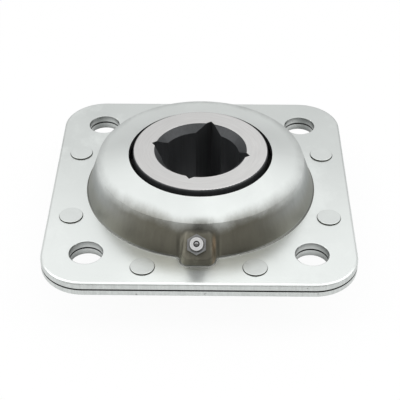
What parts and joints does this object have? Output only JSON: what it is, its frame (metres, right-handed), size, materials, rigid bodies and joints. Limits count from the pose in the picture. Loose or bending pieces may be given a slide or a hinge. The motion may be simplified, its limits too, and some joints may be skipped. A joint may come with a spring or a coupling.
{
  "type": "flanged square-bore bearing unit",
  "caption": "Riveted pressed-steel square flange unit holding a greased ball bearing with a square shaft bore, grease fitting and bolt holes at its corners.",
  "frame": {"origin": "bearing centre, where the shaft axis crosses the plane in which the two flanges part", "axes": "+Z along the shaft axis towards the greased side, -Y towards the grease fitting, X along a side of the square flange"},
  "size_m": [0.165, 0.165, 0.0572],
  "materials": {
    "zinc_plated_flange": "bright zinc plate over pressed steel, satin",
    "zinc_plated_rivet": "zinc plate, satin, flat formed heads",
    "zinc_plated_fitting": "bright zinc plate",
    "spring_steel": "drawn wire",
    "bearing_steel": "ground and lapped",
    "inner_ring_steel": "ground faces, black oxide bore and outside",
    "cage_steel": "pressed sheet",
    "seal_shield_steel": "black phosphated sheet",
    "seal_rubber": "moulded nitrile rubber"
  },
  "bodies": {
    "housing": {"upper_flange": "zinc_plated_flange", "lower_flange": "zinc_plated_flange", "rivet_1": "zinc_plated_rivet", "rivet_2": "zinc_plated_rivet", "rivet_3": "zinc_plated_rivet", "rivet_4": "zinc_plated_rivet", "rivet_5": "zinc_plated_rivet", "rivet_6": "zinc_plated_rivet", "rivet_7": "zinc_plated_rivet", "rivet_8": "zinc_plated_rivet", "grease_fitting_body": "zinc_plated_fitting", "grease_fitting_spring": "spring_steel"},
    "check_ball": {"grease_fitting_ball": "bearing_steel"},
    "outer_race": {"outer_ring": "bearing_steel", "upper_seal_shield": "seal_shield_steel", "lower_seal_shield": "seal_shield_steel", "upper_seal_lip": "seal_rubber", "lower_seal_lip": "seal_rubber"},
    "inner_race": {"inner_ring": "inner_ring_steel"},
    "ball_cage": {"cage_upper": "cage_steel", "cage_lower": "cage_steel", "cage_rivet_1": "cage_steel", "cage_rivet_2": "cage_steel", "cage_rivet_3": "cage_steel", "cage_rivet_4": "cage_steel", "cage_rivet_5": "cage_steel", "cage_rivet_6": "cage_steel", "cage_rivet_7": "cage_steel", "cage_rivet_8": "cage_steel", "cage_rivet_9": "cage_steel", "ball_1": "bearing_steel", "ball_2": "bearing_steel", "ball_3": "bearing_steel", "ball_4": "bearing_steel", "ball_5": "bearing_steel", "ball_6": "bearing_steel", "ball_7": "bearing_steel", "ball_8": "bearing_steel", "ball_9": "bearing_steel"}
  },
  "joints": [
    {"name": "self_align_tilt", "type": "hinge", "parent": "housing", "child": "outer_race", "pos_m": [0, 0, 0], "axis": [1, 0, 0], "range_deg": [-2, 2]},
    {"name": "shaft_spin", "type": "hinge", "parent": "outer_race", "child": "inner_race", "pos_m": [0, 0, 0], "axis": [0, 0, 1], "continuous": true},
    {"name": "cage_spin", "type": "hinge", "parent": "outer_race", "child": "ball_cage", "pos_m": [0, 0, 0], "axis": [0, 0, 1], "continuous": true},
    {"name": "check_ball_slide", "type": "slide", "parent": "housing", "child": "check_ball", "axis": [0, 0.7071, -0.7071], "range_m": [0, 0.0008], "stiffness_N_per_m": 500, "springref_m": -0.0004, "deforming": ["grease_fitting_spring"]}
  ],
  "couplings": [
    {"joint": "cage_spin", "follows": "shaft_spin", "ratio": 0.40551}
  ]
}
